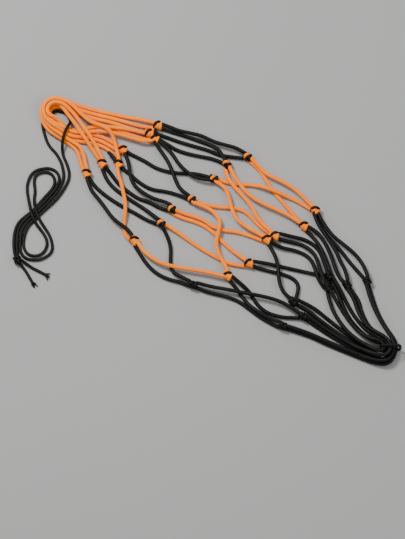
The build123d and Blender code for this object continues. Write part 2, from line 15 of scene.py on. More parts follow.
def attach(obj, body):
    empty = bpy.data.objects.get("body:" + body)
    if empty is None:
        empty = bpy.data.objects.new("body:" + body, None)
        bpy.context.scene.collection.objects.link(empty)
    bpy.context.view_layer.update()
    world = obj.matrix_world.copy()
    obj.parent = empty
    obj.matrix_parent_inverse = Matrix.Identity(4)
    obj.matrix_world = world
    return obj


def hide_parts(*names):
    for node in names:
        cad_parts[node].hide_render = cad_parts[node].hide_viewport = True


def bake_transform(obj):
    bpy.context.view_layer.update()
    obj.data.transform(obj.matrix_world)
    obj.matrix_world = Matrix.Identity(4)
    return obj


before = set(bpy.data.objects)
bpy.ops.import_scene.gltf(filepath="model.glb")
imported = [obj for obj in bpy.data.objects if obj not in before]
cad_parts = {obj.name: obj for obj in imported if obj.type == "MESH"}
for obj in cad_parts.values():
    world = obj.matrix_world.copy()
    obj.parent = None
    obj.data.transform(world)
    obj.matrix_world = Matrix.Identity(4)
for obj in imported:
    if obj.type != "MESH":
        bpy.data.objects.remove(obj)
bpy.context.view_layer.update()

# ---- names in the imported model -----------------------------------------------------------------
UPPER, LOWER, HANK = "upper_net", "lower_net", "drawstring_hank_body"
ORANGE, BLACK, THIN = "orange_net_cord", "black_net_cord", "drawstring_cord"

# ---- sizes --------------------------------------------------------------------------------------
CORD = 0.003                # net cord
STRING = 0.0024             # drawstring
TIE = 0.002                 # closing tie
LONG_AXIS = Vector((0.8, -0.6, 0))       # from the mouth to the bottom

SIDES = 16                  # corners round a cord
RING_STEP = 0.15            # spacing of a cord's rings, in diameters
CARRIERS = 3                # bumps of the braid round a cord, over each half
PLAIT = 0.62                # length of one bump of the braid, in diameters
RELIEF = 0.07               # height of the braid, in radii
RELIEF_MEAN = 0.4           # the part of the relief that lies inside the cord's true radius
END_RADIUS = 0.35           # a cut end's radius squared, as a share of the cord's
END_RUN = 0.45              # how fast a cut end fills out, in diameters
CURVE_STEPS = 12            # points of the smooth curve for each point of its route
CURVE_ORDER = 3
END_STEPS = 6               # points over which the direction of a strand's end is taken

KNOT_HEIGHT = 0.0037
KNOT_CORD = 0.0026          # the cord is squeezed thinner in a knot
HOOK_CORD = 0.0024
KNOT_REACH = 0.0068         # strands that end this near a knot belong to it
WRAP_SPAN = (-0.0027, 0.0029)            # along the knot, from its mouth end
WRAP_TURNS = 2.5
WRAP_LEAD = 0.4             # angle at which the wrap starts
WRAP_WIDE, WRAP_TALL = 0.00215, 0.0021
TURN_POINTS = 14
LEAD_BACK = 0.0012          # overlap of a lead-in with its strand
LEAD_STOP = 0.25            # how far from the knot's middle it stops, as a share of the way
LEAD_CORD = CORD * 0.97     # hidden inside the strand that it overlaps
SIDE_KNOT = "upper_knot_7"  # the one upper knot whose wrap is orange
WIDE_HOOK = [
    (-0.0018, -0.0027, -0.0010), (-0.0023, -0.0022, 0.0010), (-0.0022, -0.0007, 0.0026),
    (-0.0013, 0.0009, 0.0032), (0.0000, 0.0021, 0.0027), (0.0007, 0.0027, 0.0010),
    (0.0004, 0.0028, -0.0006),
]
SHORT_HOOK = [
    (-0.0015, -0.0022, 0.0000), (-0.0017, -0.0017, 0.0018), (-0.0013, -0.0004, 0.0030),
    (-0.0005, 0.0008, 0.0030), (0.0000, 0.0016, 0.0018), (0.0000, 0.0018, 0.0002),
]

STOPPER = (-0.1575, -0.0244, 0.0037)     # middle of the knot in both ends
STOPPER_REACH = 0.00088
STOPPER_RISE = 0.0019
STOPPER_POINTS = 24
YARNS = 7                   # loose yarns at a cut end
YARN = 0.0009
YARN_LENGTH = (0.0035, 0.0068)
YARN_FAN = 0.42             # angle of the outermost yarns
YARN_ROOT = 0.0012          # how deep a yarn starts inside the cord
YARN_SPREAD = 0.0007        # how widely the yarns start, times the sine of their angle
YARN_FLOOR = 0.0005         # lowest that a yarn's start and middle lie

# ---- light and view -----------------------------------------------------------------------------
PAPER = (0.29, 0.286, 0.283, 1)
FLOOR_REACH = 8
SURROUND = 0.62
LIGHTS = {                  # place, diameter and power
    "key": ((-0.5, 0.45, 1.1), 0.4, 20),
    "fill": ((0.7, -0.5, 1.0), 0.9, 5),
}
VIEW_AIM = Vector((-0.0128, -0.0323, 0.003))
VIEW_RISE = math.radians(70)
VIEW_DISTANCE = 4
VIEW_WIDTH = 0.3159         # width of the frame at the bag
SENSOR = 36

# ---- routes of the cords ------------------------------------------------------------------------
# Each mouth loop leaves a knot, rounds the eye of the mouth and comes back to another knot.
MOUTH_LOOPS = {
    "mouth_loop_1": [[
        (-0.0501, 0.0899, 0.0053), (-0.0593, 0.093, 0.0036), (-0.0717, 0.0957, 0.0017),
        (-0.0842, 0.0987, 0.0017), (-0.0959, 0.1014, 0.0017), (-0.1068, 0.1045, 0.0019),
        (-0.1178, 0.108, 0.004), (-0.1263, 0.1108, 0.0042), (-0.1345, 0.1102, 0.0042),
        (-0.1394, 0.1046, 0.0042), (-0.1402, 0.0976, 0.0042), (-0.1385, 0.0909, 0.0042),
        (-0.1345, 0.0843, 0.0042), (-0.1263, 0.0788, 0.0034), (-0.1162, 0.0725, 0.0017),
        (-0.1105, 0.0664, 0.0017), (-0.1089, 0.0586, 0.0017), (-0.1055, 0.0498, 0.0021),
    ]],
    "mouth_loop_2": [[
        (-0.0502, 0.0866, 0.0021), (-0.0608, 0.0879, 0.0017), (-0.0717, 0.0914, 0.0017),
        (-0.0834, 0.0949, 0.0017), (-0.0951, 0.0977, 0.0017), (-0.1061, 0.1007, 0.0019),
        (-0.117, 0.1044, 0.004), (-0.1263, 0.1074, 0.0042), (-0.1324, 0.1068, 0.0042),
        (-0.1363, 0.1025, 0.0042), (-0.1369, 0.0974, 0.0042), (-0.1351, 0.0923, 0.0042),
        (-0.131, 0.0871, 0.0042), (-0.124, 0.0818, 0.003), (-0.1162, 0.0765, 0.0017),
        (-0.1053, 0.0748, 0.0017), (-0.0951, 0.0728, 0.0017), (-0.0866, 0.0685, 0.0017),
        (-0.0822, 0.0627, 0.0017), (-0.0803, 0.0581, 0.0021),
    ]],
    "mouth_loop_3": [[
        (-0.0572, 0.0825, 0.0021), (-0.0639, 0.0843, 0.0017), (-0.0725, 0.0871, 0.0017),
        (-0.0834, 0.0912, 0.0017), (-0.0944, 0.0939, 0.0017), (-0.1045, 0.0967, 0.0019),
        (-0.1131, 0.0993, 0.0034), (-0.1209, 0.1023, 0.0042), (-0.1263, 0.1042, 0.0042),
        (-0.1306, 0.1035, 0.0042), (-0.1331, 0.1006, 0.0042), (-0.1334, 0.0972, 0.0042),
        (-0.1318, 0.0935, 0.0042), (-0.1279, 0.0898, 0.0042), (-0.1224, 0.085, 0.0022),
        (-0.1162, 0.0804, 0.0017), (-0.1053, 0.082, 0.0017), (-0.0944, 0.0805, 0.0017),
        (-0.085, 0.0758, 0.0017), (-0.077, 0.0698, 0.0021),
    ]],
    "mouth_loop_4": [[
        (-0.053, 0.0765, 0.0021), (-0.0577, 0.077, 0.0017), (-0.0663, 0.0798, 0.0017),
        (-0.0788, 0.0846, 0.0017), (-0.0897, 0.0883, 0.0017), (-0.0983, 0.0911, 0.0024),
        (-0.1061, 0.0954, 0.006), (-0.1131, 0.1014, 0.0074), (-0.1201, 0.1064, 0.0074),
        (-0.1263, 0.109, 0.0074), (-0.1334, 0.1084, 0.0074), (-0.1379, 0.1035, 0.0074),
        (-0.1385, 0.0976, 0.0074), (-0.1368, 0.0916, 0.0074), (-0.1326, 0.0856, 0.0073),
        (-0.1252, 0.0805, 0.0064), (-0.1162, 0.0746, 0.0049), (-0.1088, 0.07, 0.0049),
        (-0.1061, 0.0627, 0.0049), (-0.105, 0.0561, 0.0049), (-0.1034, 0.0506, 0.0053),
    ]],
    "mouth_loop_5": [[
        (-0.0784, 0.0586, 0.0053), (-0.0803, 0.0673, 0.0049), (-0.0823, 0.0758, 0.0049),
        (-0.0853, 0.0821, 0.0087), (-0.092, 0.0864, 0.0083), (-0.099, 0.0883, 0.0086),
        (-0.1061, 0.0931, 0.0105), (-0.1131, 0.1009, 0.0106), (-0.1193, 0.1065, 0.0106),
        (-0.1263, 0.109, 0.0106), (-0.1334, 0.1084, 0.0106), (-0.1379, 0.1035, 0.0106),
        (-0.1385, 0.0976, 0.0106), (-0.1362, 0.0919, 0.0106), (-0.1302, 0.0864, 0.0102),
        (-0.1237, 0.0835, 0.0069), (-0.1162, 0.0784, 0.0049), (-0.1053, 0.0788, 0.0022),
        (-0.0944, 0.0767, 0.0017), (-0.085, 0.0715, 0.0017), (-0.0775, 0.0659, 0.0021),
    ]],
    "mouth_loop_6": [[
        (-0.0931, 0.0586, 0.0021), (-0.0983, 0.066, 0.004), (-0.1037, 0.0735, 0.0081),
        (-0.1092, 0.0821, 0.0082), (-0.1146, 0.0904, 0.0082), (-0.1193, 0.0967, 0.008),
        (-0.1232, 0.1026, 0.0074), (-0.1271, 0.1057, 0.0074), (-0.1318, 0.105, 0.0074),
        (-0.1348, 0.1016, 0.0074), (-0.1352, 0.0973, 0.0074), (-0.1334, 0.0929, 0.0074),
        (-0.1295, 0.0891, 0.0074), (-0.1232, 0.0868, 0.0061), (-0.1162, 0.0825, 0.0049),
        (-0.1076, 0.0818, 0.0049), (-0.099, 0.0828, 0.0049), (-0.0897, 0.083, 0.0049),
        (-0.0788, 0.0806, 0.0049), (-0.0663, 0.0765, 0.0049), (-0.0583, 0.074, 0.005),
        (-0.0523, 0.075, 0.0053),
    ]],
    "mouth_loop_7": [[
        (-0.0911, 0.0591, 0.0053), (-0.0955, 0.0681, 0.0052), (-0.1006, 0.0768, 0.0081),
        (-0.1061, 0.0851, 0.0082), (-0.1111, 0.0926, 0.0082), (-0.1162, 0.0989, 0.0086),
        (-0.1218, 0.104, 0.0104), (-0.1271, 0.1057, 0.0106), (-0.1315, 0.1052, 0.0106),
        (-0.1348, 0.1016, 0.0106), (-0.1351, 0.0977, 0.0106), (-0.133, 0.0946, 0.0106),
        (-0.129, 0.0931, 0.009), (-0.1232, 0.0896, 0.0042), (-0.1162, 0.0846, 0.0017),
        (-0.1068, 0.0855, 0.0018), (-0.0983, 0.0868, 0.0049), (-0.0881, 0.0868, 0.0049),
        (-0.0788, 0.0858, 0.0049), (-0.0678, 0.084, 0.0049), (-0.0575, 0.081, 0.0053),
    ]],
}

# First row of meshes, from the mouth knots to the upper knots.
UPPER_MESH = {
    "upper_mesh_1": [[
        (-0.0452, 0.0889, 0.0053), (-0.039, 0.0866, 0.005), (-0.0312, 0.0831, 0.005),
        (-0.0226, 0.0813, 0.005), (-0.0132, 0.079, 0.005), (-0.0039, 0.0738, 0.005),
        (0.007, 0.0707, 0.005), (0.0148, 0.0684, 0.005), (0.0209, 0.0641, 0.0053),
    ], [
        (-0.0515, 0.0826, 0.0021), (-0.0413, 0.0791, 0.0016), (-0.0304, 0.0748, 0.0016),
        (-0.0187, 0.0711, 0.0016), (-0.0086, 0.0682, 0.0016), (0, 0.064, 0.0016),
        (0.0102, 0.0622, 0.0018), (0.0199, 0.061, 0.0021),
    ]],
    "upper_mesh_2": [[
        (-0.0459, 0.0866, 0.0021), (-0.0359, 0.083, 0.0016), (-0.0249, 0.0795, 0.0016),
        (-0.0148, 0.0755, 0.0016), (-0.0054, 0.072, 0.0018), (0.0004, 0.0669, 0.005),
        (0.0028, 0.0619, 0.0052), (0.0055, 0.0581, 0.0053),
    ], [
        (-0.0472, 0.077, 0.0021), (-0.0405, 0.073, 0.0018), (-0.0335, 0.0682, 0.0016),
        (-0.0242, 0.0649, 0.0016), (-0.0132, 0.0625, 0.0016), (-0.0039, 0.0606, 0.0017),
        (0.0038, 0.0568, 0.0021),
    ]],
    "upper_mesh_3": [[
        (-0.048, 0.0753, 0.0053), (-0.0412, 0.0697, 0.005), (-0.0359, 0.0627, 0.005),
        (-0.0316, 0.0552, 0.005), (-0.0242, 0.0476, 0.005), (-0.0156, 0.0426, 0.005),
        (-0.0063, 0.0416, 0.0053),
    ], [
        (-0.0728, 0.0665, 0.0021), (-0.0655, 0.0627, 0.0017), (-0.0577, 0.0586, 0.0017),
        (-0.0499, 0.0531, 0.0016), (-0.0405, 0.0499, 0.0016), (-0.0296, 0.0483, 0.0016),
        (-0.0164, 0.0484, 0.0017), (-0.0062, 0.0446, 0.0021),
    ]],
    "upper_mesh_4": [[
        (-0.0505, 0.0735, 0.0053), (-0.0452, 0.0657, 0.005), (-0.0401, 0.0577, 0.005),
        (-0.0366, 0.0493, 0.005), (-0.0339, 0.0411, 0.005), (-0.0304, 0.0337, 0.005),
        (-0.0231, 0.0284, 0.0053),
    ], [
        (-0.077, 0.0535, 0.0021), (-0.0705, 0.0486, 0.0017), (-0.0628, 0.041, 0.0016),
        (-0.053, 0.0348, 0.0016), (-0.0424, 0.0335, 0.0016), (-0.0327, 0.0308, 0.0017),
        (-0.0242, 0.027, 0.0021),
    ]],
    "upper_mesh_5": [[
        (-0.0741, 0.0648, 0.0053), (-0.0706, 0.0561, 0.005), (-0.0699, 0.0461, 0.005),
        (-0.0671, 0.0378, 0.005), (-0.0593, 0.0307, 0.005), (-0.0499, 0.0254, 0.005),
        (-0.0413, 0.0232, 0.005), (-0.037, 0.0204, 0.0053),
    ], [
        (-0.0899, 0.0539, 0.0053), (-0.0846, 0.0478, 0.0026), (-0.0795, 0.0403, 0.0016),
        (-0.071, 0.033, 0.0016), (-0.0628, 0.027, 0.0016), (-0.0546, 0.0246, 0.0016),
        (-0.046, 0.0191, 0.0017), (-0.0394, 0.0171, 0.0021),
    ]],
    "upper_mesh_6": [[
        (-0.0917, 0.0527, 0.0021), (-0.0894, 0.0453, 0.0017), (-0.0834, 0.037, 0.0016),
        (-0.0772, 0.032, 0.0016), (-0.0667, 0.0244, 0.0016), (-0.0569, 0.0179, 0.0016),
        (-0.0468, 0.0083, 0.0053),
    ], [
        (-0.1022, 0.0453, 0.0021), (-0.0983, 0.0386, 0.0017), (-0.0905, 0.0312, 0.0016),
        (-0.0815, 0.0245, 0.0016), (-0.0733, 0.0194, 0.0016), (-0.0647, 0.0146, 0.0016),
        (-0.0554, 0.0086, 0.0017), (-0.0483, 0.0059, 0.0021),
    ]],
    "upper_mesh_7": [[
        (-0.1037, 0.0444, 0.0053), (-0.1014, 0.0345, 0.005), (-0.0951, 0.027, 0.005),
        (-0.0889, 0.0183, 0.005), (-0.0834, 0.01, 0.005), (-0.076, 0.0038, 0.005),
        (-0.071, 0.0005, 0.005), (-0.0671, -0.0058, 0.0053),
    ]],
    "orange_joining_leg": [[
        (-0.0798, 0.053, 0.0053), (-0.0791, 0.0469, 0.005), (-0.0768, 0.0403, 0.005),
        (-0.075, 0.032, 0.005), (-0.0733, 0.0237, 0.005), (-0.0731, 0.0162, 0.005),
        (-0.0741, 0.0071, 0.0017), (-0.0741, -0.0004, 0.0016), (-0.0713, -0.0055, 0.0018),
        (-0.0682, -0.0087, 0.0021),
    ]],
    "cord_start_tail": [[
        (-0.0808, 0.0561, 0.0053), (-0.082, 0.0597, 0.0051), (-0.0844, 0.063, 0.0049),
        (-0.0872, 0.0655, 0.0047),
    ]],
}

# Second row, from the upper knots to the lower knots, across the fold line.
MIDDLE_MESH = {
    "middle_mesh_1": [[
        (0.025, 0.0605, 0.0053), (0.0304, 0.0548, 0.005), (0.0367, 0.0469, 0.005),
        (0.0476, 0.0416, 0.005), (0.0577, 0.0357, 0.005), (0.0663, 0.0277, 0.005),
        (0.074, 0.0189, 0.0053),
    ], [
        (-0.0015, 0.0438, 0.0021), (0.0063, 0.0406, 0.0016), (0.0164, 0.0391, 0.0016),
        (0.0273, 0.0386, 0.0018), (0.0359, 0.0358, 0.005), (0.0468, 0.0313, 0.005),
        (0.0546, 0.0283, 0.0024), (0.0635, 0.024, 0.0017), (0.073, 0.0175, 0.0021),
    ]],
    "middle_mesh_2": [[
        (0.0234, 0.0591, 0.0021), (0.0304, 0.0541, 0.0017), (0.0364, 0.0444, 0.0016),
        (0.0429, 0.0328, 0.0016), (0.0538, 0.02, 0.0016), (0.0648, 0.0059, 0.0021),
    ], [
        (0.0081, 0.0536, 0.0053), (0.0113, 0.0461, 0.005), (0.0172, 0.037, 0.005),
        (0.0245, 0.0282, 0.005), (0.0351, 0.0215, 0.005), (0.0484, 0.0156, 0.005),
        (0.0577, 0.0103, 0.005), (0.0646, 0.005, 0.0053),
    ]],
    "middle_mesh_3": [[
        (0.0052, 0.053, 0.0021), (0.0059, 0.0465, 0.0046), (0.0105, 0.0378, 0.005),
        (0.0191, 0.0282, 0.005), (0.0258, 0.0196, 0.005), (0.0304, 0.0101, 0.005),
        (0.0359, 0.0029, 0.005), (0.0418, -0.0024, 0.0053),
    ], [
        (-0.0187, 0.0252, 0.0021), (-0.0101, 0.0222, 0.0017), (0, 0.02, 0.0016),
        (0.0125, 0.0197, 0.0016), (0.0219, 0.0159, 0.0016), (0.0289, 0.0076, 0.0016),
        (0.0351, 0.0013, 0.0017), (0.0414, -0.0032, 0.0021),
    ]],
    "middle_mesh_4": [[
        (-0.0026, 0.0406, 0.0053), (0.0042, 0.0366, 0.005), (0.0075, 0.0295, 0.005),
        (0.0095, 0.0196, 0.005), (0.0133, 0.0093, 0.005), (0.0219, 0.0021, 0.005),
        (0.0297, -0.0022, 0.005), (0.0355, -0.0061, 0.0053),
    ], [
        (-0.0347, 0.0166, 0.0053), (-0.0281, 0.0149, 0.0026), (-0.0195, 0.0124, 0.0016),
        (-0.0109, 0.0089, 0.0016), (-0.0047, 0.0036, 0.0016), (0.0039, 0.0006, 0.0016),
        (0.0156, -0.0007, 0.0016), (0.0273, -0.005, 0.0017), (0.0347, -0.0083, 0.0021),
    ]],
    "middle_mesh_5": [[
        (-0.0359, 0.0147, 0.0021), (-0.0296, 0.0112, 0.0017), (-0.0203, 0.0086, 0.0016),
        (-0.0117, 0.0049, 0.0016), (-0.0034, -0.0017, 0.0016), (0.0035, -0.0097, 0.0016),
        (0.0125, -0.018, 0.0018), (0.0215, -0.0253, 0.0042),
    ], [
        (-0.0424, 0.0056, 0.0039), (-0.0343, 0.0005, 0.0022), (-0.0218, -0.0088, 0.0016),
        (-0.0109, -0.0166, 0.0016), (-0.0008, -0.0223, 0.0016), (0.0094, -0.0281, 0.0016),
        (0.0207, -0.0291, 0.0021),
    ]],
    "middle_mesh_6": [[
        (-0.0204, 0.023, 0.0053), (-0.0117, 0.0199, 0.005), (-0.0033, 0.0147, 0.005),
        (0.0014, 0.0068, 0.005), (-0.0003, -0.0019, 0.005), (-0.0025, -0.0107, 0.005),
        (-0.0003, -0.02, 0.005), (0.0042, -0.0284, 0.005), (0.0072, -0.0347, 0.0053),
    ]],
    "middle_mesh_7": [[
        (-0.0636, -0.0099, 0.0053), (-0.0602, -0.0161, 0.005), (-0.0538, -0.0224, 0.005),
        (-0.0444, -0.0283, 0.005), (-0.0304, -0.0316, 0.005), (-0.0164, -0.0339, 0.005),
        (-0.0054, -0.0361, 0.005), (0.0036, -0.0386, 0.0053),
    ]],
    "side_mesh": [[
        (-0.0663, -0.0113, 0.0021), (-0.062, -0.0183, 0.0017), (-0.0565, -0.0273, 0.0016),
        (-0.0491, -0.0349, 0.0016), (-0.0398, -0.04, 0.0017), (-0.0304, -0.0422, 0.0018),
        (-0.0231, -0.0455, 0.0021),
    ], [
        (-0.0442, 0.0026, 0.0053), (-0.0401, -0.005, 0.0036), (-0.0373, -0.0145, 0.0016),
        (-0.038, -0.0244, 0.0016), (-0.0366, -0.0339, 0.0017), (-0.0304, -0.0382, 0.0042),
        (-0.0221, -0.043, 0.0053),
    ]],
}

# Third row, from the lower knots to the bottom knots.
LOWER_MESH = {
    "lower_mesh_1": [[
        (0.0772, 0.0146, 0.0053), (0.0807, 0.0068, 0.005), (0.0886, -0.005, 0.005),
        (0.0988, -0.0133, 0.005), (0.1077, -0.0215, 0.005), (0.1136, -0.0311, 0.005),
        (0.1161, -0.0394, 0.0053),
    ], [
        (0.076, 0.0134, 0.0021), (0.0791, 0.0046, 0.0017), (0.0858, -0.0052, 0.0016),
        (0.0944, -0.0148, 0.0016), (0.103, -0.0273, 0.0016), (0.1137, -0.04, 0.0021),
    ]],
    "lower_mesh_2": [[
        (0.0742, 0.0143, 0.0053), (0.0772, 0.0048, 0.005), (0.0843, -0.0058, 0.005),
        (0.0909, -0.0165, 0.005), (0.0947, -0.0266, 0.005), (0.0991, -0.0349, 0.005),
        (0.1003, -0.0424, 0.0053),
    ], [
        (0.0691, 0.0029, 0.0053), (0.0765, -0.001, 0.005), (0.0827, -0.0103, 0.005),
        (0.0878, -0.0223, 0.005), (0.0908, -0.0327, 0.005), (0.0944, -0.0409, 0.005),
        (0.0978, -0.044, 0.0053),
    ]],
    "lower_mesh_3": [[
        (0.0679, 0.0006, 0.0021), (0.0741, -0.005, 0.0018), (0.0796, -0.0153, 0.005),
        (0.0835, -0.0253, 0.005), (0.0866, -0.0349, 0.0053),
    ], [
        (0.0465, -0.003, 0.0053), (0.057, -0.0049, 0.0028), (0.0679, -0.007, 0.0017),
        (0.0772, -0.0136, 0.0016), (0.0819, -0.0244, 0.0016), (0.0847, -0.0346, 0.0021),
    ], [
        (0.0261, -0.0263, 0.0053), (0.0351, -0.0268, 0.003), (0.046, -0.0289, 0.0017),
        (0.0577, -0.0317, 0.0016), (0.0694, -0.0346, 0.0016), (0.0772, -0.0361, 0.0016),
        (0.083, -0.0377, 0.0021),
    ]],
    "lower_mesh_4": [[
        (0.0457, -0.0063, 0.0021), (0.0559, -0.0091, 0.0017), (0.0655, -0.0113, 0.0018),
        (0.0737, -0.0183, 0.005), (0.0776, -0.0278, 0.005), (0.0793, -0.0361, 0.005),
        (0.0834, -0.0449, 0.0053),
    ], [
        (0.0396, -0.0091, 0.0053), (0.0468, -0.0141, 0.0032), (0.0601, -0.016, 0.0017),
        (0.071, -0.0216, 0.0018), (0.0752, -0.0327, 0.005), (0.0771, -0.0414, 0.005),
        (0.0824, -0.0478, 0.0021),
    ]],
    "lower_mesh_5": [[
        (0.0384, -0.0107, 0.0021), (0.0425, -0.0178, 0.0047), (0.0462, -0.0294, 0.005),
        (0.0465, -0.0427, 0.005), (0.0503, -0.053, 0.005), (0.0559, -0.057, 0.0053),
    ], [
        (0.0255, -0.0291, 0.0021), (0.0359, -0.0326, 0.0017), (0.0484, -0.0352, 0.0016),
        (0.0593, -0.0397, 0.0016), (0.0629, -0.0477, 0.0017), (0.0594, -0.0571, 0.0021),
    ]],
    "lower_mesh_6": [[
        (0.0097, -0.0382, 0.0053), (0.0172, -0.0444, 0.004), (0.0242, -0.0507, 0.0017),
        (0.0289, -0.0601, 0.0016), (0.0367, -0.0676, 0.0016), (0.0484, -0.0714, 0.0016),
        (0.0577, -0.0718, 0.0017), (0.0629, -0.0722, 0.0021),
    ], [
        (-0.0176, -0.044, 0.0053), (-0.007, -0.0472, 0.005), (0.0055, -0.0493, 0.005),
        (0.0187, -0.0522, 0.005), (0.032, -0.0547, 0.005), (0.0445, -0.058, 0.005),
        (0.0538, -0.0626, 0.005), (0.0634, -0.0697, 0.0053),
    ]],
    "lower_mesh_7": [[
        (0.0078, -0.0407, 0.0021), (0.0133, -0.0465, 0.0017), (0.0183, -0.0551, 0.0018),
        (0.0242, -0.0635, 0.005), (0.0351, -0.0711, 0.005), (0.0429, -0.0754, 0.005),
        (0.0484, -0.0767, 0.0053),
    ], [
        (-0.0179, -0.0469, 0.0021), (-0.0093, -0.0508, 0.0017), (0.0031, -0.0535, 0.0016),
        (0.0148, -0.0575, 0.0016), (0.025, -0.0658, 0.0016), (0.0356, -0.0741, 0.0017),
        (0.0471, -0.08, 0.0021),
    ]],
}

# Each bottom loop leaves a knot, turns back at the closed end and returns to a knot.
BOTTOM_LOOPS = {
    "bottom_loop_1": [[
        (0.1167, -0.0452, 0.0021), (0.1201, -0.0576, 0.0017), (0.124, -0.0693, 0.0018),
        (0.1303, -0.0814, 0.0026), (0.1362, -0.0902, 0.0042), (0.1378, -0.0978, 0.0042),
        (0.135, -0.1064, 0.0042), (0.1295, -0.1113, 0.0042), (0.1186, -0.1088, 0.002),
        (0.1045, -0.1028, 0.0017), (0.085, -0.0944, 0.0017), (0.0671, -0.0854, 0.0017),
        (0.0516, -0.081, 0.0021),
    ]],
    "bottom_loop_2": [[
        (0.1147, -0.0452, 0.0053), (0.1175, -0.0568, 0.005), (0.122, -0.0684, 0.005),
        (0.1279, -0.08, 0.0056), (0.1342, -0.09, 0.0074), (0.1357, -0.0978, 0.0074),
        (0.1332, -0.1056, 0.0074), (0.1279, -0.1094, 0.0074), (0.1162, -0.1064, 0.0052),
        (0.1022, -0.1005, 0.0049), (0.0827, -0.0917, 0.0049), (0.0663, -0.084, 0.0049),
        (0.0526, -0.0796, 0.0053),
    ]],
    "bottom_loop_3": [[
        (0.1018, -0.0475, 0.0021), (0.1084, -0.0555, 0.0017), (0.1106, -0.0668, 0.0017),
        (0.1162, -0.0792, 0.0018), (0.1256, -0.087, 0.0034), (0.1323, -0.0918, 0.0042),
        (0.1342, -0.0983, 0.0042), (0.1315, -0.1046, 0.0042), (0.126, -0.1073, 0.0042),
        (0.1147, -0.103, 0.0019), (0.1022, -0.0962, 0.0017), (0.0866, -0.0869, 0.0017),
        (0.0757, -0.0791, 0.0017), (0.0676, -0.0732, 0.0021),
    ]],
    "bottom_loop_4": [[
        (0.0999, -0.0488, 0.0053), (0.105, -0.0568, 0.005), (0.1077, -0.0676, 0.0049),
        (0.1142, -0.0799, 0.0062), (0.1209, -0.0857, 0.0102), (0.13, -0.0913, 0.0106),
        (0.1334, -0.098, 0.0106), (0.1307, -0.1045, 0.0106), (0.124, -0.1053, 0.0106),
        (0.1147, -0.1016, 0.0086), (0.1031, -0.0952, 0.0049), (0.0874, -0.0852, 0.0049),
        (0.0749, -0.0764, 0.0049), (0.0682, -0.0704, 0.0053),
    ]],
    "bottom_loop_5": [[
        (0.0884, -0.0388, 0.0053), (0.0942, -0.0493, 0.004), (0.0997, -0.0605, 0.0018),
        (0.1053, -0.0709, 0.0017), (0.1142, -0.082, 0.0019), (0.1233, -0.0893, 0.0073),
        (0.1303, -0.0933, 0.0074), (0.1325, -0.0986, 0.0074), (0.1298, -0.1036, 0.0074),
        (0.1233, -0.1045, 0.0073), (0.1139, -0.0998, 0.0052), (0.104, -0.0935, 0.0018),
        (0.0928, -0.0849, 0.0017), (0.0796, -0.0747, 0.0017), (0.0694, -0.0659, 0.0017),
        (0.0601, -0.0607, 0.0021),
    ]],
    "bottom_loop_6": [[
        (0.0873, -0.0402, 0.0021), (0.0924, -0.051, 0.0017), (0.0967, -0.0631, 0.0017),
        (0.1022, -0.0742, 0.0017), (0.1116, -0.085, 0.0017), (0.1201, -0.0917, 0.0034),
        (0.1256, -0.093, 0.0042), (0.129, -0.0957, 0.0042), (0.1303, -0.0991, 0.0042),
        (0.1287, -0.1023, 0.0042), (0.1251, -0.1035, 0.0042), (0.1205, -0.1015, 0.004),
        (0.1131, -0.096, 0.002), (0.1049, -0.09, 0.0018), (0.0952, -0.082, 0.0017),
        (0.0835, -0.0721, 0.0017), (0.0726, -0.063, 0.0034), (0.0605, -0.0581, 0.0053),
    ]],
    "bottom_loop_7": [[
        (0.0864, -0.0499, 0.0053), (0.0913, -0.0593, 0.005), (0.0967, -0.0689, 0.005),
        (0.1038, -0.0792, 0.0049), (0.1116, -0.0872, 0.0056), (0.1183, -0.0918, 0.0103),
        (0.1236, -0.093, 0.0106), (0.127, -0.0955, 0.0106), (0.1284, -0.0988, 0.0106),
        (0.1264, -0.1015, 0.0106), (0.1223, -0.1015, 0.0106), (0.1178, -0.0991, 0.0102),
        (0.1084, -0.092, 0.0054), (0.0999, -0.0846, 0.0049), (0.0921, -0.0742, 0.0049),
        (0.0866, -0.0626, 0.004), (0.0843, -0.0501, 0.0021),
    ]],
}

